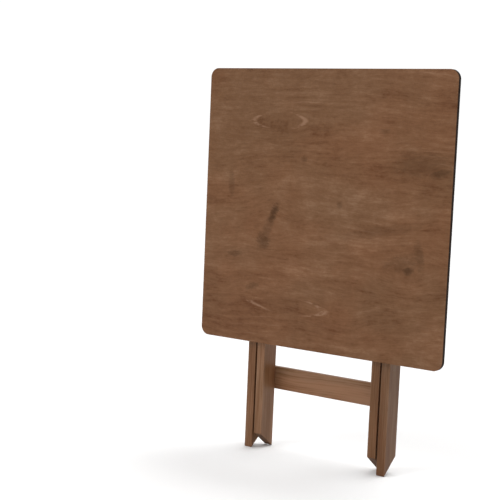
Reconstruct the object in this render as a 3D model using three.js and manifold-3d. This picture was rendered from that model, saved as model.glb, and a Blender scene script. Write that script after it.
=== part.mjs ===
// Folding tray table, shown folded: the square top hangs in front of two crossed leg frames.
// Millimetres. +Z is up, +X is to the right, and the top's show face looks along -Y.
// The design is laid out with y = 0 on the front edges of the legs and z = 0 on the floor;
// the exported group then moves it so that the origin is at the middle of its footprint.
import * as THREE from 'three';
import Module from 'manifold-3d';
import { mergeVertices } from 'three/addons/utils/BufferGeometryUtils.js';

const wasm = await Module();
wasm.setup();

// ---------------------------------------------------------------- driving dimensions
const GAP = 0.3; // left between pieces that touch
const FOLD = THREE.MathUtils.degToRad(36); // lean of each leg frame from upright, open

const TOP_SIZE = 600; // square top
const TOP_THICK = 10;
const TOP_CORNER = 20;
const TOP_EDGE_Z = 842; // upper edge of the hanging top
const UNDERSIDE_Y = -4; // the top's back face

const LEG_DEPTH = 48; // along Y
const LEG_THICK = 19.5; // along X
const INNER_OUT_X = 154; // outer face of an inner leg
const LEG_GAP = 4;
const OUTER_IN_X = INNER_OUT_X + LEG_GAP;
const OUTER_OUT_X = OUTER_IN_X + LEG_THICK;
const INNER_IN_X = INNER_OUT_X - LEG_THICK;

const PIVOT_Y = LEG_DEPTH / 2; // where the two frames cross
const PIVOT_Z = 358.5;
const HINGE_Y = 16; // hinge rod, at the top of the outer legs
const HINGE_Z = 775;
const LATCH_Y = 32; // latch rod, at the top of the inner legs
const LATCH_Z = HINGE_Z - (LATCH_Y - HINGE_Y) / Math.cos(FOLD);
const ROD_R = 5;
const ROD_SOCKET = 12; // depth of a rod's socket in a leg
const OUTER_TOP_Z = HINGE_Z + 17;
const INNER_TOP_Z = LATCH_Z + 14;
const OUTER_ROUND = 16;
const INNER_ROUND = 12;

const RAIL_HEIGHT = 50;
const RAIL_THICK = 12;
const LOWER_RAIL_Z = 131; // underside of the inner frame's rail
const UPPER_RAIL_Z = 690; // underside of the outer frame's rail

const BEARER_X = 110; // middle of each bearer under the top
const BEARER_WIDTH = 20;
const BEARER_DEPTH = LATCH_Y - UNDERSIDE_Y - ROD_R - 0.4;
const BEARER_NOSE = 24; // wood beyond the hinge rod
const NOTCH_R = ROD_R + 0.4;

const STRAP_THICK = 2.5; // latch hook
const STRAP_WIDTH = 18;
const LIP_LENGTH = 16;

const BOLT_R = 4;
const WOOD_SCREW = { head: 4, shank: 1.9, length: 40 };
const BEARER_SCREW = { head: 4, shank: 1.9, length: 32 };
const HOOK_SCREW = { head: 3.6, shank: 1.7, length: 22 };
const ROUND = 20; // facets on round hardware

// Distances along the top, from its upper edge, of the two rods.
const HINGE_U = TOP_EDGE_Z - HINGE_Z;
const HINGE_ARM = HINGE_Z - PIVOT_Z;
const LATCH_ARM = LATCH_Z - PIVOT_Z;
const SPREAD = (HINGE_ARM + LATCH_ARM) * Math.sin(FOLD) - (LATCH_Y - HINGE_Y) * Math.cos(FOLD);
const LATCH_U = HINGE_U + SPREAD; // where the latch rod rests on the open table
const HINGE_W = HINGE_Y - UNDERSIDE_Y; // rod depths behind the underside
const LATCH_W = LATCH_Y - UNDERSIDE_Y;

// ---------------------------------------------------------------- materials
const look = (color, roughness, metalness = 0) =>
  new THREE.MeshStandardMaterial({ color, roughness, metalness });
const topWood = () => look(0x75533c, 0.5);
const frameWood = () => look(0x72543e, 0.55);
const darkMetal = () => look(0x3a3a3c, 0.45, 0.85);
const zincScrew = () => look(0x8d8c86, 0.4, 0.9);

// ---------------------------------------------------------------- solids
function toSolid(geometry) {
  const bare = geometry.clone();
  bare.deleteAttribute('normal');
  bare.deleteAttribute('uv');
  const welded = mergeVertices(bare, 1e-4);
  const vertProperties = new Float32Array(welded.attributes.position.array);
  const triVerts = new Uint32Array(welded.index.array);
  return new wasm.Manifold(new wasm.Mesh({ numProp: 3, vertProperties, triVerts }));
}

function toGeometry(solid) {
  const mesh = solid.getMesh();
  const geometry = new THREE.BufferGeometry();
  const positions = new THREE.BufferAttribute(Float32Array.from(mesh.vertProperties), 3);
  geometry.setAttribute('position', positions);
  geometry.setIndex(new THREE.BufferAttribute(Uint32Array.from(mesh.triVerts), 1));
  geometry.computeVertexNormals();
  return geometry;
}

function cut(geometry, tools) {
  let solid = toSolid(geometry);
  for (const tool of tools) {
    solid = solid.subtract(toSolid(tool));
  }
  return toGeometry(solid);
}

// A (y, z) outline carried along X from x0 to x1.
function slab(shape, x0, x1, curveSegments = 6) {
  const depth = x1 - x0;
  const geometry = new THREE.ExtrudeGeometry(shape, { depth, bevelEnabled: false, curveSegments });
  const yAxis = new THREE.Vector3(0, 1, 0);
  const zAxis = new THREE.Vector3(0, 0, 1);
  const xAxis = new THREE.Vector3(1, 0, 0);
  geometry.applyMatrix4(new THREE.Matrix4().makeBasis(yAxis, zAxis, xAxis));
  return geometry.translate(x0, 0, 0);
}

function box(x0, x1, y0, y1, z0, z1) {
  const geometry = new THREE.BoxGeometry(x1 - x0, y1 - y0, z1 - z0);
  return geometry.translate((x0 + x1) / 2, (y0 + y1) / 2, (z0 + z1) / 2);
}

// A lathed profile of [radius, distance] pairs, its axis along X, distances growing with x.
function turned(profile, x, y, z, side = 1, facets = ROUND) {
  const points = profile.map(([r, d]) => new THREE.Vector2(r, d));
  const geometry = new THREE.LatheGeometry(points, facets);
  geometry.rotateZ(side > 0 ? -Math.PI / 2 : Math.PI / 2);
  return geometry.translate(x, y, z);
}

function rod(radius, x0, x1, y, z, facets = ROUND) {
  const profile = [[0, 0], [radius, 0], [radius, x1 - x0], [0, x1 - x0]];
  return turned(profile, x0, y, z, 1, facets);
}

function ring(inner, outer, x0, x1, y, z, facets = ROUND) {
  const width = x1 - x0;
  const profile = [[inner, 0], [outer, 0], [outer, width], [inner, width], [inner, 0]];
  return turned(profile, x0, y, z, 1, facets);
}

// ---------------------------------------------------------------- screws
// Each is made with its head at the origin and its point along -Y, then aimed.
function sunkProfile({ head, shank, length }, extra = 0) {
  const cone = head - shank;
  return [
    [0, extra * 8],
    [head + extra, extra * 8],
    [head + extra, -0.6],
    [shank + extra, -0.6 - cone],
    [shank + extra, -length + 4],
    [0, -length - extra],
  ];
}

function panProfile({ head, shank, length }, extra = 0) {
  return [
    [0, 2.2 + extra],
    [head * 0.6 + extra, 1.9 + extra],
    [head + extra, 0.6],
    [head + extra, 0],
    [shank + extra, 0],
    [shank + extra, -length + 4],
    [0, -length - extra],
  ];
}

function lathed(profile, facets = 14) {
  const points = profile.map(([r, d]) => new THREE.Vector2(r, d)).reverse();
  return new THREE.LatheGeometry(points, facets);
}

function crossRecess(size, top) {
  const a = new THREE.BoxGeometry(size, 2.2, 0.9).translate(0, top, 0);
  const b = new THREE.BoxGeometry(0.9, 2.2, size).translate(0, top, 0);
  return [a, b];
}

// Turns a screw's -Y direction to the wanted one and puts its head at the place.
function aimed(geometry, direction, place) {
  const from = new THREE.Vector3(0, -1, 0);
  const turn = new THREE.Quaternion().setFromUnitVectors(from, direction);
  geometry.applyQuaternion(turn);
  return geometry.translate(place.x, place.y, place.z);
}

function sunkScrew(size, direction, place) {
  const body = cut(lathed(sunkProfile(size)), crossRecess(size.head * 1.15, 0));
  return aimed(body, direction, place);
}

function panScrew(size, direction, place) {
  const body = cut(lathed(panProfile(size)), crossRecess(size.head * 1.1, 1.9));
  return aimed(body, direction, place);
}

function sunkHole(size, direction, place) {
  return aimed(lathed(sunkProfile(size, GAP)), direction, place);
}

function straightHole(size, direction, place) {
  const radius = size.shank + GAP;
  const profile = [[0, 1], [radius, 1], [radius, -size.length + 4], [0, -size.length - 0.5]];
  return aimed(lathed(profile), direction, place);
}

const TO_FRONT = new THREE.Vector3(0, -1, 0);
const TO_TOP = new THREE.Vector3(0, 0, 1);

// ---------------------------------------------------------------- assembly
const table = new THREE.Group();
table.name = 'folding_tray_table';

function add(name, geometry, material) {
  const mesh = new THREE.Mesh(geometry, material);
  mesh.name = name;
  table.add(mesh);
}

const SIDES = [['left', -1], ['right', 1]];

// Puts a slab that is drawn for the right-hand side on either side.
function sideSlab(shape, side, near, far, curveSegments) {
  return side > 0 ? slab(shape, near, far, curveSegments) : slab(shape, -far, -near, curveSegments);
}

function span(side, near, far) {
  return side > 0 ? [near, far] : [-far, -near];
}

// ---- screw places
function railScrewPlaces(x, railZ) {
  const y = LEG_DEPTH + GAP + RAIL_THICK - 0.2;
  const middle = railZ + RAIL_HEIGHT / 2;
  return [middle + 13, middle - 13].map((z) => new THREE.Vector3(x, y, z));
}

function bearerScrewPlaces(side) {
  const y = UNDERSIDE_Y + 24;
  return [130, 300, 470].map((u) => new THREE.Vector3(side * BEARER_X, y, TOP_EDGE_Z - u));
}

const BEARER_END_Z = TOP_EDGE_Z - (LATCH_U + ROD_R + 0.4);

function hookScrewPlaces(side) {
  const z = BEARER_END_Z - GAP - STRAP_THICK - GAP;
  return [9, 21].map((w) => new THREE.Vector3(side * BEARER_X, UNDERSIDE_Y + w, z));
}

// ---- top
function makeTop() {
  const half = TOP_SIZE / 2;
  const r = TOP_CORNER;
  const shape = new THREE.Shape();
  shape.moveTo(-half + r, -half);
  shape.lineTo(half - r, -half);
  shape.absarc(half - r, -half + r, r, -Math.PI / 2, 0, false);
  shape.lineTo(half, half - r);
  shape.absarc(half - r, half - r, r, 0, Math.PI / 2, false);
  shape.lineTo(-half + r, half);
  shape.absarc(-half + r, half - r, r, Math.PI / 2, Math.PI, false);
  shape.lineTo(-half, -half + r);
  shape.absarc(-half + r, -half + r, r, Math.PI, Math.PI * 1.5, false);
  const options = { depth: TOP_THICK, bevelEnabled: false, curveSegments: 10 };
  const board = new THREE.ExtrudeGeometry(shape, options);
  board.rotateX(Math.PI / 2);
  board.translate(0, UNDERSIDE_Y, TOP_EDGE_Z - half);
  const holes = [];
  for (const [, side] of SIDES) {
    for (const place of bearerScrewPlaces(side)) {
      holes.push(sunkHole(BEARER_SCREW, TO_FRONT, place));
    }
  }
  return cut(board, holes);
}

// The bearer's outline, with the open hinge seat near its upper end.
function bearerShape() {
  const edgeY = UNDERSIDE_Y + BEARER_DEPTH;
  const seatY = UNDERSIDE_Y + HINGE_W;
  const from = THREE.MathUtils.degToRad(84);
  const to = THREE.MathUtils.degToRad(40);
  const shape = new THREE.Shape();
  shape.moveTo(UNDERSIDE_Y + GAP, BEARER_END_Z);
  shape.lineTo(edgeY - 4, BEARER_END_Z);
  shape.lineTo(edgeY, BEARER_END_Z + 4);
  // Lower flank of the seat, sloped so that the rod can leave downwards and back.
  const lowY = seatY - NOTCH_R * Math.cos(to);
  const lowZ = HINGE_Z - NOTCH_R * Math.sin(to);
  shape.lineTo(edgeY, lowZ - (edgeY - lowY) / Math.tan(to));
  const steps = 10;
  for (let i = 0; i <= steps; i += 1) {
    const a = -to + ((from + to) * i) / steps;
    shape.lineTo(seatY - NOTCH_R * Math.cos(a), HINGE_Z + NOTCH_R * Math.sin(a));
  }
  // Upper flank, a little drafted, then the nose.
  shape.lineTo(edgeY, HINGE_Z + NOTCH_R + 1.6);
  shape.lineTo(edgeY, HINGE_Z + BEARER_NOSE - 8);
  shape.lineTo(edgeY - 8, HINGE_Z + BEARER_NOSE);
  shape.lineTo(UNDERSIDE_Y + GAP, HINGE_Z + BEARER_NOSE);
  shape.closePath();
  return shape;
}

function makeBearer(side) {
  const near = BEARER_X - BEARER_WIDTH / 2;
  const body = sideSlab(bearerShape(), side, near, near + BEARER_WIDTH, 4);
  const tools = [];
  for (const place of bearerScrewPlaces(side)) {
    const depth = UNDERSIDE_Y + BEARER_DEPTH - place.y;
    const bore = new THREE.CylinderGeometry(4.8, 4.8, depth + 1, 14);
    bore.translate(place.x, place.y + (depth + 1) / 2, place.z);
    tools.push(bore, sunkHole(BEARER_SCREW, TO_FRONT, place));
  }
  for (const place of hookScrewPlaces(side)) {
    tools.push(straightHole(HOOK_SCREW, TO_TOP, place));
  }
  return cut(body, tools);
}

// The latch hook: a strap on the bearer's end, with a lip that passes behind the latch rod.
function hookShape() {
  const z1 = BEARER_END_Z - GAP;
  const z0 = z1 - STRAP_THICK;
  const lipIn = UNDERSIDE_Y + LATCH_W + ROD_R + 0.4;
  const lipOut = lipIn + STRAP_THICK;
  const bend = 4;
  const shape = new THREE.Shape();
  shape.moveTo(UNDERSIDE_Y + 3, z0);
  shape.lineTo(lipOut - bend, z0);
  shape.absarc(lipOut - bend, z0 + bend, bend, -Math.PI / 2, 0, false);
  shape.lineTo(lipOut, z1 + LIP_LENGTH);
  shape.lineTo(lipIn, z1 + LIP_LENGTH);
  shape.lineTo(lipIn, z0 + bend);
  const inner = bend - STRAP_THICK;
  shape.absarc(lipIn - inner, z1 + inner, inner, 0, -Math.PI / 2, true);
  shape.lineTo(UNDERSIDE_Y + 3, z1);
  shape.closePath();
  return shape;
}

function makeHook(side) {
  const near = BEARER_X - STRAP_WIDTH / 2;
  const body = sideSlab(hookShape(), side, near, near + STRAP_WIDTH, 5);
  const tools = hookScrewPlaces(side).map((place) => {
    const hole = new THREE.CylinderGeometry(HOOK_SCREW.shank + GAP, HOOK_SCREW.shank + GAP, 8, 14);
    return hole.rotateX(Math.PI / 2).translate(place.x, place.y, place.z + 2);
  });
  return cut(body, tools);
}

// ---- legs
function legShape(frontZ, backZ, topZ, r) {
  const shape = new THREE.Shape();
  shape.moveTo(0, frontZ);
  shape.lineTo(LEG_DEPTH, backZ);
  shape.lineTo(LEG_DEPTH, topZ - r);
  shape.absarc(LEG_DEPTH - r, topZ - r, r, 0, Math.PI / 2, false);
  shape.lineTo(r, topZ);
  shape.absarc(r, topZ - r, r, Math.PI / 2, Math.PI, false);
  shape.closePath();
  return shape;
}

const FOOT_RISE = LEG_DEPTH * Math.tan(FOLD);

function pivotHole(side) {
  const [x0, x1] = span(side, INNER_IN_X - 2, OUTER_OUT_X + 2);
  return rod(BOLT_R + GAP, x0, x1, PIVOT_Y, PIVOT_Z);
}

function socket(side, inFace, y, z) {
  const [x0, x1] = span(side, inFace - 2, inFace + ROD_SOCKET);
  return rod(ROD_R + GAP, x0, x1, y, z);
}

function makeOuterLeg(side) {
  const shape = legShape(0, FOOT_RISE, OUTER_TOP_Z, OUTER_ROUND);
  const body = sideSlab(shape, side, OUTER_IN_X, OUTER_OUT_X, 5);
  const tools = [pivotHole(side), socket(side, OUTER_IN_X, HINGE_Y, HINGE_Z)];
  const x = (side * (OUTER_IN_X + OUTER_OUT_X)) / 2;
  for (const place of railScrewPlaces(x, UPPER_RAIL_Z)) {
    tools.push(sunkHole(WOOD_SCREW, TO_FRONT, place));
  }
  return cut(body, tools);
}

function makeInnerLeg(side) {
  const shape = legShape(FOOT_RISE, 0, INNER_TOP_Z, INNER_ROUND);
  const body = sideSlab(shape, side, INNER_IN_X, INNER_OUT_X, 5);
  const tools = [pivotHole(side), socket(side, INNER_IN_X, LATCH_Y, LATCH_Z)];
  const x = (side * (INNER_IN_X + INNER_OUT_X)) / 2;
  for (const place of railScrewPlaces(x, LOWER_RAIL_Z)) {
    tools.push(sunkHole(WOOD_SCREW, TO_FRONT, place));
  }
  return cut(body, tools);
}

function makeRail(halfLength, z, screwX) {
  const y = LEG_DEPTH + GAP;
  const body = box(-halfLength, halfLength, y, y + RAIL_THICK, z, z + RAIL_HEIGHT);
  const tools = [];
  for (const [, side] of SIDES) {
    for (const place of railScrewPlaces(side * screwX, z)) {
      tools.push(sunkHole(WOOD_SCREW, TO_FRONT, place));
    }
  }
  return cut(body, tools);
}

// ---- pivot hardware, along +X on the right and mirrored on the left
function makeBolt(side) {
  const tip = INNER_IN_X - GAP * 2 - 1.5 - 6.5 - 1.3;
  const head = OUTER_OUT_X + GAP;
  const shank = head - tip;
  const profile = [
    [0, 0],
    [BOLT_R - 0.6, 0],
    [BOLT_R, 0.6],
    [BOLT_R, shank],
    [9, shank],
    [9, shank + 1],
    [6.5, shank + 2.8],
    [0, shank + 2.8],
  ];
  const body = turned(profile, side * tip, PIVOT_Y, PIVOT_Z, side, 24);
  const key = new THREE.CylinderGeometry(2.9, 2.9, 4, 6).rotateZ(Math.PI / 2);
  key.translate(side * (head + 2.8), PIVOT_Y, PIVOT_Z);
  return cut(body, [key]);
}

function makeNut(side) {
  const face = INNER_IN_X - GAP * 2 - 1.5;
  const [x0, x1] = span(side, face - 6.5, face);
  const body = rod(7.5, x0, x1, PIVOT_Y, PIVOT_Z, 6);
  return cut(body, [rod(BOLT_R + GAP, x0 - 1, x1 + 1, PIVOT_Y, PIVOT_Z)]);
}

function makeRing(side, near, far, outer) {
  const [x0, x1] = span(side, near, far);
  return ring(BOLT_R + GAP, outer, x0, x1, PIVOT_Y, PIVOT_Z);
}

// ---- put it all together
add('tabletop', makeTop(), topWood());
for (const [name, side] of SIDES) {
  add(`bearer_${name}`, makeBearer(side), frameWood());
  bearerScrewPlaces(side).forEach((place, i) => {
    add(`bearer_screw_${name}_${i + 1}`, sunkScrew(BEARER_SCREW, TO_FRONT, place), zincScrew());
  });
  add(`latch_hook_${name}`, makeHook(side), darkMetal());
  hookScrewPlaces(side).forEach((place, i) => {
    add(`latch_hook_screw_${name}_${i + 1}`, panScrew(HOOK_SCREW, TO_TOP, place), darkMetal());
  });

  add(`outer_leg_${name}`, makeOuterLeg(side), frameWood());
  const outerX = (side * (OUTER_IN_X + OUTER_OUT_X)) / 2;
  railScrewPlaces(outerX, UPPER_RAIL_Z).forEach((place, i) => {
    add(`upper_rail_screw_${name}_${i + 1}`, sunkScrew(WOOD_SCREW, TO_FRONT, place), zincScrew());
  });

  add(`inner_leg_${name}`, makeInnerLeg(side), frameWood());
  const innerX = (side * (INNER_IN_X + INNER_OUT_X)) / 2;
  railScrewPlaces(innerX, LOWER_RAIL_Z).forEach((place, i) => {
    add(`lower_rail_screw_${name}_${i + 1}`, sunkScrew(WOOD_SCREW, TO_FRONT, place), zincScrew());
  });

  add(`pivot_bolt_${name}`, makeBolt(side), darkMetal());
  add(`pivot_nut_${name}`, makeNut(side), darkMetal());
  const washerFace = INNER_IN_X - GAP;
  add(`pivot_washer_${name}`, makeRing(side, washerFace - 1.5, washerFace, 8.5), darkMetal());
  const spacer = makeRing(side, INNER_OUT_X + GAP, OUTER_IN_X - GAP, 9);
  add(`pivot_spacer_${name}`, spacer, look(0x222222, 0.6));
}
const hingeHalf = OUTER_IN_X + ROD_SOCKET - GAP;
add('hinge_rod', rod(ROD_R, -hingeHalf, hingeHalf, HINGE_Y, HINGE_Z), darkMetal());
const latchHalf = INNER_IN_X + ROD_SOCKET - GAP;
add('latch_rod', rod(ROD_R, -latchHalf, latchHalf, LATCH_Y, LATCH_Z), darkMetal());
const outerMid = (OUTER_IN_X + OUTER_OUT_X) / 2;
const innerMid = (INNER_IN_X + INNER_OUT_X) / 2;
add('upper_rail', makeRail(OUTER_OUT_X, UPPER_RAIL_Z, outerMid), frameWood());
add('lower_rail', makeRail(INNER_OUT_X, LOWER_RAIL_Z, innerMid), frameWood());

const frontY = UNDERSIDE_Y - TOP_THICK;
const backY = LEG_DEPTH + GAP + RAIL_THICK;
table.position.y = -(frontY + backY) / 2;

export default table;
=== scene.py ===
"""Looks for the folding tray table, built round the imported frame. Metres, +Z up, show face along -Y."""

import math

import bpy
from mathutils import Matrix, Vector


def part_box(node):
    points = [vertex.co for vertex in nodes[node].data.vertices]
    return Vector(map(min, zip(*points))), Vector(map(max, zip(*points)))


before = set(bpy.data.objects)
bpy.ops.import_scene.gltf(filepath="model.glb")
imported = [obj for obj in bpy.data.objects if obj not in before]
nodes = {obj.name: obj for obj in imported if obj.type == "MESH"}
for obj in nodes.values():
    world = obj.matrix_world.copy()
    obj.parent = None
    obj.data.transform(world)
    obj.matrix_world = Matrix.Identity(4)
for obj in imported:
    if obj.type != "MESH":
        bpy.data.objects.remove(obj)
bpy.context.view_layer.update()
scene = bpy.context.scene
SIDES = ("left", "right")


# ------------------------------------------------------------------ camera, metres and radians
CAMERA_PLACE = Vector((1.27626, -2.15325, 0.69600))
CAMERA_YAW, CAMERA_PITCH, CAMERA_ROLL = 0.60129, 0.09762, -0.04302
CAMERA_LENS, CAMERA_SENSOR = 84.18, 36  # millimetres
CAMERA_CLIP = (0.05, 100)


def add_camera():
    yaw, pitch, roll = CAMERA_YAW, CAMERA_PITCH, CAMERA_ROLL
    level = math.cos(pitch)
    ahead = Vector((-math.sin(yaw) * level, math.cos(yaw) * level, -math.sin(pitch)))
    right = Vector((math.cos(yaw), math.sin(yaw), 0))
    down = ahead.cross(right)
    across = math.cos(roll) * right + math.sin(roll) * down
    upright = math.sin(roll) * right - math.cos(roll) * down
    data = bpy.data.cameras.new("camera")
    data.lens, data.sensor_width = CAMERA_LENS, CAMERA_SENSOR
    data.clip_start, data.clip_end = CAMERA_CLIP
    camera = bpy.data.objects.new("camera", data)
    scene.collection.objects.link(camera)
    turn = Matrix((across, upright, -ahead)).transposed().to_4x4()
    camera.matrix_world = Matrix.Translation(CAMERA_PLACE) @ turn
    scene.camera = camera


# ------------------------------------------------------------------ light and floor
WHITE = (1, 1, 1, 1)
BACKDROP_STRENGTH = 1.05
DIM_SIDE = (0.85, 0.53, 0)  # the surrounding light falls off towards the right and the back
DIM_FROM, DIM_TO = -0.4, 0.8  # how far along that way it starts and stops falling
LIGHT_FULL, LIGHT_DIM = 0.70, 0.31  # its strength there
SUN = {"towards": (-0.35, -0.75, -2.0), "power": 1.9, "angle": 50}
KEY = {"place": (-1.6, -2.9, 2.7), "target": (0, 0, 0.45), "size": 2.2, "power": 48}
FLOOR_HALF = 14.0
FLOOR_COLOUR, FLOOR_ROUGHNESS, FLOOR_SPECULAR = (0.97, 0.97, 0.97, 1), 0.9, 0.2


def add_area(name, place, target, size, power):
    data = bpy.data.lights.new(name, "AREA")
    data.shape, data.size, data.energy = "DISK", size, power
    lamp = bpy.data.objects.new(name, data)
    scene.collection.objects.link(lamp)
    lamp.location = place
    lamp.rotation_euler = (Vector(target) - Vector(place)).to_track_quat("-Z", "Y").to_euler()


def add_sun(name, towards, power, angle):
    data = bpy.data.lights.new(name, "SUN")
    data.energy, data.angle = power, math.radians(angle)
    lamp = bpy.data.objects.new(name, data)
    scene.collection.objects.link(lamp)
    lamp.rotation_euler = Vector(towards).to_track_quat("-Z", "Y").to_euler()


def add_world():
    world = bpy.data.worlds.new("studio")
    scene.world = world
    world.use_nodes = True
    tree = world.node_tree
    tree.nodes.clear()
    seen = tree.nodes.new("ShaderNodeBackground")
    seen.inputs["Color"].default_value = WHITE
    seen.inputs["Strength"].default_value = BACKDROP_STRENGTH
    lit = tree.nodes.new("ShaderNodeBackground")
    lit.inputs["Color"].default_value = WHITE
    aim = tree.nodes.new("ShaderNodeTexCoord")
    along = tree.nodes.new("ShaderNodeVectorMath")
    along.operation = "DOT_PRODUCT"
    along.inputs[1].default_value = DIM_SIDE
    level = tree.nodes.new("ShaderNodeMapRange")
    level.interpolation_type = "SMOOTHSTEP"
    for socket, number in zip(list(level.inputs)[1:5], (DIM_FROM, DIM_TO, LIGHT_FULL, LIGHT_DIM)):
        socket.default_value = number
    tree.links.new(aim.outputs["Generated"], along.inputs[0])
    tree.links.new(along.outputs["Value"], level.inputs[0])
    tree.links.new(level.outputs[0], lit.inputs["Strength"])
    path = tree.nodes.new("ShaderNodeLightPath")
    both = tree.nodes.new("ShaderNodeMixShader")
    out = tree.nodes.new("ShaderNodeOutputWorld")
    tree.links.new(path.outputs["Is Camera Ray"], both.inputs["Fac"])
    tree.links.new(lit.outputs["Background"], both.inputs[1])
    tree.links.new(seen.outputs["Background"], both.inputs[2])
    tree.links.new(both.outputs["Shader"], out.inputs["Surface"])


def add_floor():
    data = bpy.data.meshes.new("studio_floor")
    half = FLOOR_HALF
    corners = [(-half, -half, 0), (half, -half, 0), (half, half, 0), (-half, half, 0)]
    data.from_pydata(corners, [], [(0, 1, 2, 3)])
    floor = bpy.data.objects.new("studio_floor", data)
    scene.collection.objects.link(floor)
    pale = bpy.data.materials.new("pale_floor")
    pale.use_nodes = True
    shader = pale.node_tree.nodes["Principled BSDF"]
    shader.inputs["Base Color"].default_value = FLOOR_COLOUR
    shader.inputs["Roughness"].default_value = FLOOR_ROUGHNESS
    shader.inputs["Specular IOR Level"].default_value = FLOOR_SPECULAR
    data.materials.append(pale)


# ------------------------------------------------------------------ shader graphs
class Graph:
    """One Principled material, with short calls for the nodes that it uses."""

    def __init__(self, name):
        self.material = bpy.data.materials.new(name)
        self.material.use_nodes = True
        self.tree = self.material.node_tree
        self.shader = self.tree.nodes["Principled BSDF"]
        coords = self.tree.nodes.new("ShaderNodeTexCoord")
        self.place, self.normal = coords.outputs["Object"], coords.outputs["Normal"]

    def node(self, kind, **settings):
        made = self.tree.nodes.new(kind)
        for key, value in settings.items():
            setattr(made, key, value)
        return made

    def feed(self, socket, value):
        if isinstance(value, bpy.types.NodeSocket):
            self.tree.links.new(value, socket)
        else:
            socket.default_value = value

    def math(self, operation, a, b=0.0):
        made = self.node("ShaderNodeMath", operation=operation)
        for socket, value in zip(made.inputs, (a, b)):
            self.feed(socket, value)
        return made.outputs[0]

    def add(self, *values):
        total = values[0]
        for value in values[1:]:
            total = self.math("ADD", total, value)
        return total

    def times(self, *values):
        total = values[0]
        for value in values[1:]:
            total = self.math("MULTIPLY", total, value)
        return total

    def swing(self, value, weight):
        """A noise value's departure from its middle, weighted."""
        return self.times(self.add(value, -0.5), weight)

    def split(self, vector):
        made = self.node("ShaderNodeSeparateXYZ")
        self.feed(made.inputs[0], vector)
        return made.outputs

    def join(self, x, y, z):
        made = self.node("ShaderNodeCombineXYZ")
        for socket, value in zip(made.inputs, (x, y, z)):
            self.feed(socket, value)
        return made.outputs[0]

    def moved(self, vector, scale=(1, 1, 1), shift=(0, 0, 0)):
        made = self.node("ShaderNodeMapping")
        self.feed(made.inputs["Vector"], vector)
        made.inputs["Location"].default_value = shift
        made.inputs["Scale"].default_value = scale
        return made.outputs[0]

    def noise(self, vector, detail, rough):
        made = self.node("ShaderNodeTexNoise")
        self.feed(made.inputs["Vector"], vector)
        made.inputs["Scale"].default_value = 1.0
        made.inputs["Detail"].default_value = detail
        made.inputs["Roughness"].default_value = rough
        return made.outputs["Fac"]

    def ease(self, value, low, high):
        """0 at low, 1 at high, and smooth between; low may be the larger."""
        made = self.node("ShaderNodeMapRange", interpolation_type="SMOOTHSTEP")
        for socket, number in zip(made.inputs, (value, low, high)):
            self.feed(socket, number)
        return made.outputs[0]

    def mix(self, share, a, b, blend="MIX"):
        made = self.node("ShaderNodeMix", data_type="RGBA", blend_type=blend, clamp_factor=True)
        self.feed(made.inputs[0], share)
        for socket, value in ((made.inputs[6], a), (made.inputs[7], b)):
            self.feed(socket, value if isinstance(value, bpy.types.NodeSocket) else (*value, 1))
        return made.outputs[2]

    def tint(self, colour, share):
        """Shifts a wood tone between a redder and a more olive brown."""
        shift = self.mix(self.ease(share, 0.34, 0.66), TINT_OLIVE, TINT_RED)
        return self.mix(1.0, colour, shift, blend="MULTIPLY")

    def bump(self, height, strength, distance):
        made = self.node("ShaderNodeBump")
        made.inputs["Strength"].default_value = strength
        made.inputs["Distance"].default_value = distance
        self.feed(made.inputs["Height"], height)
        return made.outputs[0]

    def finish(self, colour, roughness, normal, **uniform):
        self.feed(self.shader.inputs["Base Color"], colour)
        self.feed(self.shader.inputs["Roughness"], roughness)
        self.feed(self.shader.inputs["Normal"], normal)
        for key, value in uniform.items():
            self.shader.inputs[key.replace("_", " ")].default_value = value
        return self.material


# ------------------------------------------------------------------ wood
# Colours are linear RGB.
WOOD_DARK = (0.098, 0.033, 0.008)
WOOD_MID = (0.151, 0.066, 0.027)
WOOD_LIGHT = (0.225, 0.115, 0.062)
WOOD_PALE = (0.280, 0.155, 0.092)
VENEER_DARK = (0.092, 0.028, 0.004)
VENEER_MID = (0.148, 0.062, 0.0235)
VENEER_LIGHT = (0.226, 0.113, 0.058)
FLECK_COLOUR = (0.056, 0.019, 0.001)
PLY_DARK, PLY_LIGHT = (0.005, 0.002, 0.001), (0.020, 0.009, 0.004)
# The two arris colours paint eased edges lighter: partly rubbed stain, partly painted highlight.
TOP_ARRIS_WEAR_AND_HIGHLIGHT = (0.270, 0.128, 0.058)
BOARD_ARRIS_WEAR_AND_HIGHLIGHT = (0.300, 0.160, 0.085)
END_DARK, END_LIGHT = (0.050, 0.024, 0.012), (0.105, 0.054, 0.030)
TINT_OLIVE, TINT_RED = (0.945, 1.012, 1.04), (1.015, 0.990, 0.95)
WOOD_SHEEN = {"Specular_IOR_Level": 0.22}
TONE_TO_MID, TONE_TO_LIGHT = (0.02, 0.52), (0.42, 1.02)
GRAIN_DEPTH = 0.0006

# Noise recipes: steps per metre along the grain and across it, detail, roughness.
VENEER_NOISE = {
    "slow": (1.7, 3.6, 2.0, 0.5),
    "wave": (6.0, 13.0, 2.0, 0.5),
    "bands": (2.4, 15.0, 3.0, 0.55),
    "mottle": (17.0, 38.0, 5.0, 0.65),
    "streaks": (24.0, 170.0, 4.0, 0.6),
    "fibres": (70.0, 720.0, 3.0, 0.6),
    "specks": (130.0, 190.0, 3.0, 0.65),
    "patches": (4.2, 8.0, 2.0, 0.5),
    "curl_sheen": (60.0, 9.0, 1.0, 0.5),
    "tint": (4.5, 6.0, 3.0, 0.55),
    "broken": (34.0, 90.0, 3.0, 0.6),
    "ragged": (75.0, 260.0, 4.0, 0.75),
}
VENEER_SEED, VENEER_FRONT_SHIFT = 2.3, 9.1
VENEER_RINGS = {"depth": 0.05, "ring_gap": 0.0165, "lean": 0.17, "seed": 3.1}
RING_MIDDLE = (-0.02, -0.142)  # the log's middle, right of and above the middle of the top
PLY_THICKNESS = 0.00145

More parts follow.
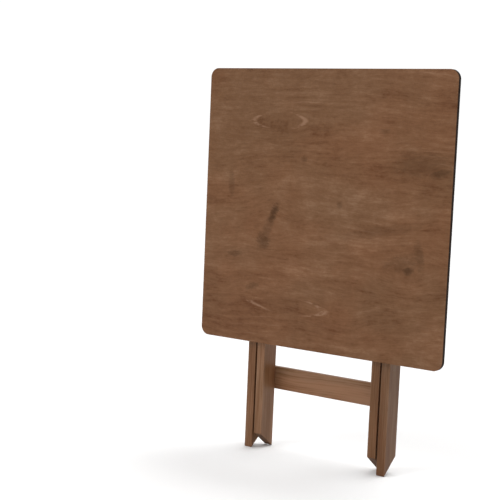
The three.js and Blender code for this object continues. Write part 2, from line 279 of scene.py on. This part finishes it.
BOARD_NOISE = {
    "wobble": (9.0, 16.0, 2.0, 0.5),
    "bands": (1.8, 42.0, 3.0, 0.55),
    "streaks": (7.0, 190.0, 4.0, 0.6),
    "fibres": (30.0, 900.0, 3.0, 0.6),
    "blotch": (4.0, 9.0, 2.0, 0.5),
    "tint": (6.0, 25.0, 3.0, 0.55),
    "rub": (22.0, 60.0, 3.0, 0.65),
}
BOARD_RING_CENTRE, BOARD_RING_GAP = (0.06, 0.05), 0.0052
BLOTCH_SHIFT = 7.0

# Marks on the show face. Places are metres right of and above the middle of the top.
TOP_LOW, TOP_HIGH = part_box("tabletop")
TOP_MIDDLE_X = (TOP_LOW[0] + TOP_HIGH[0]) / 2
TOP_MIDDLE_Z = (TOP_LOW[2] + TOP_HIGH[2]) / 2
KNOTS = (  # place, reach, strength: knots push the grain aside
    ((-0.126, -0.037), (0.050, 0.050), 0.75),
    ((0.215, -0.102), (0.070, 0.045), 0.85),
    ((0.262, 0.098), (0.080, 0.030), 0.60),
    ((-0.165, -0.176), (0.060, 0.024), 0.60),
    ((-0.110, 0.186), (0.085, 0.026), 0.80),
    ((0.156, 0.166), (0.045, 0.022), 0.60),
)
FLAMES = (  # place, half length, half height: pale pointed figures
    ((-0.113, 0.189), 0.066, 0.021),
    ((-0.075, -0.212), 0.095, 0.020),
)
FLECKS = (  # right, up, half length, half height, lean, depth of colour
    (-0.118, -0.014, 0.0075, 0.0220, -0.42, 0.95),
    (-0.130, -0.042, 0.0100, 0.0480, -0.42, 0.45),
    (-0.141, -0.072, 0.0130, 0.0140, 0.00, 0.75),
    (-0.216, -0.108, 0.0150, 0.0055, 0.10, 0.65),
    (-0.165, -0.176, 0.0150, 0.0060, 0.25, 0.55),
    (0.213, -0.105, 0.0100, 0.0065, 0.00, 0.85),
    (0.196, -0.092, 0.0320, 0.0140, 0.30, 0.42),
    (0.236, -0.072, 0.0080, 0.0220, 0.20, 0.50),
    (0.272, 0.094, 0.0180, 0.0070, 0.20, 0.75),
    (0.232, 0.110, 0.0460, 0.0180, 0.15, 0.42),
    (-0.045, 0.109, 0.0060, 0.0048, 0.00, 0.55),
    (0.047, 0.018, 0.0055, 0.0070, 0.30, 0.50),
    (-0.232, 0.046, 0.0060, 0.0240, 0.05, 0.35),
    (0.150, -0.030, 0.0700, 0.0090, 0.22, 0.28),
    (0.145, 0.174, 0.0100, 0.0045, 0.00, 0.35),
    (-0.020, 0.300, 0.0300, 0.0060, 0.00, 0.20),
    (-0.215, 0.233, 0.1500, 0.1000, 0.00, 0.13),
    (-0.215, -0.197, 0.1200, 0.0800, 0.10, 0.07),
)


def on_top(place):
    """A place given from the middle of the top, in the frame."""
    return TOP_MIDDLE_X + place[0], TOP_MIDDLE_Z + place[1]


def knot_pull(g, along, across, centre, size, strength):
    """How far a knot pushes the grain lines aside."""
    a = g.times(g.add(along, -centre[0]), 1 / size[0])
    b = g.times(g.add(across, -centre[1]), 1 / size[1])
    far = g.add(g.times(a, a), g.times(b, b))
    near = g.math("EXPONENT", g.times(far, -1.0))
    return g.times(g.add(across, -centre[1]), near, -strength)


def grain_lines(g, along, across, depth, ring_gap, lean, seed):
    """Growth rings cut by the board's face: arches where the cut runs along the log's middle."""
    down = g.add(g.times(along, lean), depth)
    radius = g.math("SQRT", g.add(g.times(across, across), g.times(down, down)))
    wander = g.noise(g.join(g.times(along, 2.6), g.times(across, 14.0), seed), 3.0, 0.55)
    phase = g.add(g.times(radius, 1 / ring_gap), g.times(wander, 3.4))
    return g.math("SINE", g.times(phase, math.tau))


def wood_tone(g, tone, dark, mid, light):
    colour = g.mix(g.ease(tone, *TONE_TO_MID), dark, mid)
    return g.mix(g.ease(tone, *TONE_TO_LIGHT), colour, light)


def pale_lines(g, x, z, wave, rings, patches):
    """Thin pale lines where the cut just grazes a ring, and round the flames."""
    pale = g.times(g.ease(rings, 0.92, 1.0), g.ease(patches, 0.56, 0.68), 0.30)
    for place, half_x, half_z in FLAMES:
        right, up = on_top(place)
        a = g.times(g.math("ABSOLUTE", g.add(x, -right)), 1 / half_x)
        b = g.times(g.add(z, g.swing(wave, 0.02), -up), 1 / half_z)
        off = g.math("ABSOLUTE", g.add(a, g.times(b, b), -1.0))
        pale = g.add(pale, g.times(g.ease(off, 0.16, 0.03), g.ease(a, 0.25, 0.75), 0.60))
    return pale


def dark_flecks(g, x, z, ragged):
    """Dark flecks and small knots with ragged edges: the deepest one counts."""
    stain = None
    for across, above, half_x, half_z, lean, depth in FLECKS:
        right, up = on_top((across, above))
        dx, dz = g.add(x, -right), g.add(z, -up)
        a = g.times(g.add(dx, g.times(dz, lean)), 1 / half_x)
        b = g.times(g.add(dz, g.times(dx, -lean)), 1 / half_z)
        far = g.add(g.times(a, a), g.times(b, b), g.swing(ragged, 6.0))
        spot = g.times(g.ease(far, 3.0, -0.6), depth)
        stain = spot if stain is None else g.math("MAXIMUM", stain, spot)
    return stain


def veneer(name):
    """The top: stained birch-like veneer, its grain across the top, with dark plywood edges."""
    g = Graph(name)
    x, y, z = g.split(g.place)
    facing_front = g.split(g.normal)[1]
    show = g.ease(facing_front, 0.2, -0.2)  # the show face only, not the underside
    # The two faces are two sheets of veneer.
    layer = g.add(VENEER_SEED, g.times(show, VENEER_FRONT_SHIFT))

    def noise(kind, height):
        along, across, detail, rough = VENEER_NOISE[kind]
        return g.noise(g.join(g.times(x, along), layer, g.times(height, across)), detail, rough)

    slow, wave = noise("slow", z), noise("wave", z)
    level = g.add(z, g.swing(slow, 0.10), g.swing(wave, 0.022))
    for place, size, strength in KNOTS:
        level = g.add(level, knot_pull(g, x, z, on_top(place), size, strength))

    bands, mottle = noise("bands", level), noise("mottle", level)
    streaks, fibres = noise("streaks", level), noise("fibres", level)
    specks, patches, curl_sheen = noise("specks", z), noise("patches", z), noise("curl_sheen", level)
    ring_right, ring_up = on_top(RING_MIDDLE)
    rings = grain_lines(g, g.add(x, -ring_right), g.add(level, -ring_up), **VENEER_RINGS)
    tone = g.add(
        0.5,
        g.swing(bands, 0.80),
        g.swing(mottle, 0.90),
        g.swing(streaks, 0.65),
        g.swing(fibres, 0.40),
        g.swing(specks, 0.38),
        g.times(rings, 0.060, g.ease(patches, 0.40, 0.62)),
        # painted sheen: a faint cross-grain ripple in tone that stands in for the shimmer of curly grain
        g.swing(curl_sheen, 0.12),
    )
    colour = wood_tone(g, tone, VENEER_DARK, VENEER_MID, VENEER_LIGHT)
    colour = g.tint(colour, noise("tint", z))
    broken = g.ease(noise("broken", z), 0.40, 0.56)
    pale = pale_lines(g, x, z, wave, rings, patches)
    colour = g.mix(g.times(pale, broken, show), colour, WOOD_PALE)
    stain = g.times(dark_flecks(g, x, z, noise("ragged", level)), show)
    colour = g.mix(stain, colour, FLECK_COLOUR)

    # Edges: dark layered plywood, with the eased arris painted lighter here and there: partly stain
    # rubbed thin, partly a painted highlight.
    facing = g.math("ABSOLUTE", facing_front)
    side = g.ease(facing, 0.80, 0.45)
    plies = g.math("SINE", g.times(y, math.tau / PLY_THICKNESS))
    ply_grain = g.noise(g.moved(g.place, (90, 900, 90)), 3.0, 0.6)
    ply_share = g.ease(g.add(plies, g.times(ply_grain, 1.2)), -0.4, 1.4)
    edge = g.mix(ply_share, PLY_DARK, PLY_LIGHT)
    rub = g.noise(g.moved(g.place, (38, 60, 38)), 3.0, 0.65)
    arris = g.times(g.ease(facing, 1.0, 0.90), g.ease(facing, 0.60, 0.80), g.ease(rub, 0.30, 0.60))
    colour = g.mix(g.times(arris, 0.55), colour, TOP_ARRIS_WEAR_AND_HIGHLIGHT)
    colour = g.mix(side, colour, edge)

    rough = g.add(0.44, g.swing(fibres, 0.16), g.swing(bands, 0.08), g.times(side, 0.50))
    height = g.add(g.times(fibres, 0.7), g.times(streaks, 0.6), g.times(stain, -0.6))
    return g.finish(colour, rough, g.bump(height, 0.22, GRAIN_DEPTH), **WOOD_SHEEN)


def board(name, grain, seed, lift, gain):
    """A solid stained board. grain is the axis that its fibres follow, X or Z."""
    g = Graph(name)
    x, y, z = g.split(g.place)
    nx, ny, nz = g.split(g.normal)
    if grain == "Z":
        along, a, b, na, nb, end_n = z, x, y, nx, ny, nz
    else:
        along, a, b, na, nb, end_n = x, z, y, nz, ny, nx

    def noise(kind, a, b, seed=seed):
        scale_along, across, detail, rough = BOARD_NOISE[kind]
        depth = g.add(g.times(b, across), seed)
        return g.noise(g.join(g.times(along, scale_along), g.times(a, across), depth), detail, rough)

    bend = g.noise(g.join(g.times(along, 2.2), seed, 0.5), 2.0, 0.5)
    drift = g.add(g.swing(bend, 0.030), g.swing(noise("wobble", a, b), 0.006))
    a2, b2 = g.add(a, drift), g.add(b, g.times(drift, 0.6))

    bands, streaks, fibres = noise("bands", a2, b2), noise("streaks", a2, b2), noise("fibres", a2, b2)
    blotch = noise("blotch", a, b, seed + BLOTCH_SHIFT)
    ra, rb = g.add(a2, BOARD_RING_CENTRE[0]), g.add(b2, BOARD_RING_CENTRE[1])
    radius = g.math("SQRT", g.add(g.times(ra, ra), g.times(rb, rb)))
    ring_phase = g.add(g.times(radius, 1 / BOARD_RING_GAP), g.times(bands, 1.6))
    rings = g.math("SINE", g.times(ring_phase, math.tau))
    # lift and gain: each board's own tone, and partly painted light and shade set per board
    tone = g.add(
        0.5 + lift,
        g.swing(bands, 0.95),
        g.swing(streaks, 1.15),
        g.swing(fibres, 0.60),
        g.swing(blotch, 0.60),
        g.times(rings, 0.075),
    )
    colour = wood_tone(g, tone, WOOD_DARK, WOOD_MID, WOOD_LIGHT)
    colour = g.mix(1.0, colour, (gain, gain, gain), blend="MULTIPLY")
    colour = g.tint(colour, noise("tint", a, b))

    # Cut ends drink more stain. Eased long edges are painted lighter here and there: partly stain rubbed
    # thin, partly a painted highlight along the arris.
    ends = g.ease(g.math("ABSOLUTE", end_n), 0.55, 0.80)
    pores = g.noise(g.moved(g.place, (700, 700, 700)), 2.0, 0.6)
    end_colour = g.mix(g.ease(pores, 0.35, 0.65), END_DARK, END_LIGHT)
    colour = g.mix(g.times(ends, 0.70), colour, end_colour)
    arris = g.times(na, na, nb, nb, 4.0)
    wear_and_highlight = g.times(g.ease(arris, 0.25, 0.9), g.ease(noise("rub", a, b), 0.36, 0.62))
    colour = g.mix(g.times(wear_and_highlight, 0.70), colour, BOARD_ARRIS_WEAR_AND_HIGHLIGHT)

    rough = g.add(0.46, g.swing(fibres, 0.18), g.times(ends, 0.22), g.times(wear_and_highlight, -0.04))
    height = g.add(g.times(fibres, 0.7), g.times(streaks, 0.6), g.times(pores, ends, 0.8))
    return g.finish(colour, rough, g.bump(height, 0.25, GRAIN_DEPTH), **WOOD_SHEEN)


# ------------------------------------------------------------------ metal and nylon
GUNMETAL_DARK, GUNMETAL_LIGHT = (0.028, 0.028, 0.030), (0.062, 0.061, 0.062)
BARE_METAL = (0.26, 0.25, 0.24)
ZINC_DULL, ZINC_BRIGHT, ZINC_SPANGLE = (0.30, 0.285, 0.25), (0.52, 0.51, 0.47), (0.62, 0.60, 0.54)
NYLON_DARK, NYLON_LIGHT = (0.012, 0.012, 0.013), (0.030, 0.029, 0.028)
METAL_DEPTH = 0.0002


def gunmetal(name, seed):
    g = Graph(name)
    cloud = g.noise(g.moved(g.place, (60, 60, 60), (seed, 0, 0)), 3.0, 0.6)
    grit = g.noise(g.moved(g.place, (1400, 1400, 1400), (seed, 0, 0)), 2.0, 0.6)
    scratch = g.noise(g.moved(g.place, (900, 70, 70), (seed, 3, 1)), 3.0, 0.7)
    colour = g.mix(g.ease(cloud, 0.3, 0.7), GUNMETAL_DARK, GUNMETAL_LIGHT)
    bare = g.times(g.ease(scratch, 0.66, 0.74), g.ease(cloud, 0.45, 0.6))
    colour = g.mix(g.times(bare, 0.7), colour, BARE_METAL)
    rough = g.add(0.40, g.swing(cloud, 0.25), g.swing(grit, 0.15))
    height = g.add(g.times(grit, 0.6), g.times(bare, -0.6))
    return g.finish(colour, rough, g.bump(height, 0.18, METAL_DEPTH), Metallic=0.75)


def zinc(name):
    g = Graph(name)
    spangle = g.node("ShaderNodeTexVoronoi")
    g.feed(spangle.inputs["Vector"], g.moved(g.place, (520, 520, 520)))
    spangle.inputs["Scale"].default_value = 1.0
    cells = spangle.outputs["Distance"]
    dull = g.noise(g.moved(g.place, (180, 180, 180)), 3.0, 0.6)
    colour = g.mix(g.ease(dull, 0.3, 0.7), ZINC_DULL, ZINC_BRIGHT)
    colour = g.mix(g.times(cells, 0.25), colour, ZINC_SPANGLE)
    rough = g.add(0.34, g.times(dull, 0.22))
    return g.finish(colour, rough, g.bump(cells, 0.12, METAL_DEPTH), Metallic=0.9)


def moulded(name):
    g = Graph(name)
    grain = g.noise(g.moved(g.place, (1600, 1600, 1600)), 3.0, 0.6)
    cloud = g.noise(g.moved(g.place, (120, 120, 120)), 2.0, 0.5)
    colour = g.mix(cloud, NYLON_DARK, NYLON_LIGHT)
    rough = g.add(0.50, g.times(grain, 0.25))
    return g.finish(colour, rough, g.bump(grain, 0.25, METAL_DEPTH))


# ------------------------------------------------------------------ shapes: eased edges on the CAD wood
SMOOTH_ANGLE, FLAT_ANGLE = math.radians(38), math.radians(1)
SHARP_COSINE = 0.8  # edges between faces over 37 degrees apart are sharp
EASED_WIDTH, EASED_STEPS = 0.0014, 3
SHORTEST_EASED = 0.0027
WELD_DISTANCE = 1e-5


def smooth_group():
    """A geometry group that shades smooth, and keeps edges above the angle sharp."""
    tree = bpy.data.node_groups.new("smooth_by_angle", "GeometryNodeTree")
    tree.interface.new_socket("Geometry", in_out="INPUT", socket_type="NodeSocketGeometry")
    tree.interface.new_socket("Geometry", in_out="OUTPUT", socket_type="NodeSocketGeometry")
    start, end = tree.nodes.new("NodeGroupInput"), tree.nodes.new("NodeGroupOutput")
    faces = tree.nodes.new("GeometryNodeSetShadeSmooth")
    edges = tree.nodes.new("GeometryNodeSetShadeSmooth")
    edges.domain = "EDGE"
    angle = tree.nodes.new("GeometryNodeInputMeshEdgeAngle")
    test = tree.nodes.new("FunctionNodeCompare")
    test.data_type, test.operation = "FLOAT", "LESS_THAN"
    test.inputs[1].default_value = SMOOTH_ANGLE
    tree.links.new(angle.outputs["Unsigned Angle"], test.inputs[0])
    tree.links.new(start.outputs[0], faces.inputs["Geometry"])
    tree.links.new(faces.outputs[0], edges.inputs["Geometry"])
    tree.links.new(test.outputs[0], edges.inputs["Shade Smooth"])
    tree.links.new(edges.outputs[0], end.inputs[0])
    return tree


SMOOTH = smooth_group()


def clear_stored_normals(mesh):
    stored = mesh.attributes.get("custom_normal")
    if stored is not None:
        mesh.attributes.remove(stored)


def shade(node):
    node.modifiers.new("smooth", "NODES").node_group = SMOOTH
    even = node.modifiers.new("even", "WEIGHTED_NORMAL")
    even.keep_sharp = True


def weld(node):
    clear_stored_normals(node.data)
    node.modifiers.new("weld", "WELD").merge_threshold = WELD_DISTANCE


def long_sharp_edges(mesh):
    """Sharp edges that are long enough to ease. Holes have only short ones."""
    faces = {}
    for face in mesh.polygons:
        for key in face.edge_keys:
            ends = [tuple(round(c, 6) for c in mesh.vertices[i].co) for i in key]
            faces.setdefault(tuple(sorted(ends)), []).append(face.normal)
    for edge in mesh.edges:
        a, b = (mesh.vertices[i].co for i in edge.vertices)
        if (a - b).length < SHORTEST_EASED:
            continue
        ends = tuple(sorted(tuple(round(c, 6) for c in p) for p in (a, b)))
        normals = faces.get(ends, [])
        if len(normals) == 2 and normals[0].dot(normals[1]) < SHARP_COSINE:
            yield edge


def ease_edges(node):
    """Rounds a wooden piece's outer edges. The CAD vertices stay; the modifiers do the work."""
    weight = node.data.attributes.new("bevel_weight_edge", "FLOAT", "EDGE")
    for edge in long_sharp_edges(node.data):
        weight.data[edge.index].value = 1.0
    weld(node)
    flat = node.modifiers.new("flat", "DECIMATE")
    flat.decimate_type, flat.angle_limit = "DISSOLVE", FLAT_ANGLE
    bevel = node.modifiers.new("ease", "BEVEL")
    bevel.limit_method, bevel.width, bevel.segments = "WEIGHT", EASED_WIDTH, EASED_STEPS
    bevel.use_clamp_overlap = False
    shade(node)


def paint(node, material):
    node.data.materials.clear()
    node.data.materials.append(material)


# ------------------------------------------------------------------ the table
SIDE_BOARDS = {"outer_leg": 11.0, "inner_leg": 23.0, "bearer": 37.0}  # a grain seed each
CROSS_BOARDS = {"upper_rail": 51.0, "lower_rail": 64.0}
RIGHT_SEED_STEP = 5.3
METAL_SEED_STEP = 1.7
BOARD_TONES_AND_PAINTED_LIGHT = {  # how pale and how bright each board is: partly each board taking the stain its own way, partly painted light and shade, which makes boards in shade, such as the lower rail and the inner left leg, paler and brighter
    "outer_leg_left": (0.02, 1.03), "inner_leg_left": (0.05, 1.10),
    "outer_leg_right": (0.00, 0.87), "inner_leg_right": (0.00, 1.00),
    "bearer_left": (0.03, 1.02), "bearer_right": (0.00, 0.98),
    "upper_rail": (0.12, 1.00), "lower_rail": (0.30, 1.13),
}


def dress_wood():
    ease_edges(nodes["tabletop"])
    paint(nodes["tabletop"], veneer("top_veneer"))
    for number, side in enumerate(SIDES):
        for kind, seed in SIDE_BOARDS.items():
            name = f"{kind}_{side}"
            ease_edges(nodes[name])
            seed_here = seed + RIGHT_SEED_STEP * number
            paint(nodes[name], board(f"{name}_wood", "Z", seed_here, *BOARD_TONES_AND_PAINTED_LIGHT[name]))
    for kind, seed in CROSS_BOARDS.items():
        ease_edges(nodes[kind])
        paint(nodes[kind], board(f"{kind}_wood", "X", seed, *BOARD_TONES_AND_PAINTED_LIGHT[kind]))


def dress_hardware():
    """Everything that isn't wood. Each metal piece keeps the seed of its place in the node list."""
    screw_metal, spacer = zinc("zinc_plate"), moulded("moulded_nylon")
    for number, (name, node) in enumerate(sorted(nodes.items())):
        if name == "tabletop" or name in BOARD_TONES_AND_PAINTED_LIGHT:
            continue
        weld(node)
        shade(node)
        if "spacer" in name:
            paint(node, spacer)
        elif "screw" in name and "hook" not in name:
            paint(node, screw_metal)
        else:
            paint(node, gunmetal(f"{name}_metal", METAL_SEED_STEP * number))


def main():
    scene.view_settings.view_transform = "Standard"
    scene.view_settings.look = "None"
    add_camera()
    add_world()
    add_floor()
    add_sun("overhead", **SUN)
    add_area("key", **KEY)
    dress_wood()
    dress_hardware()


main()
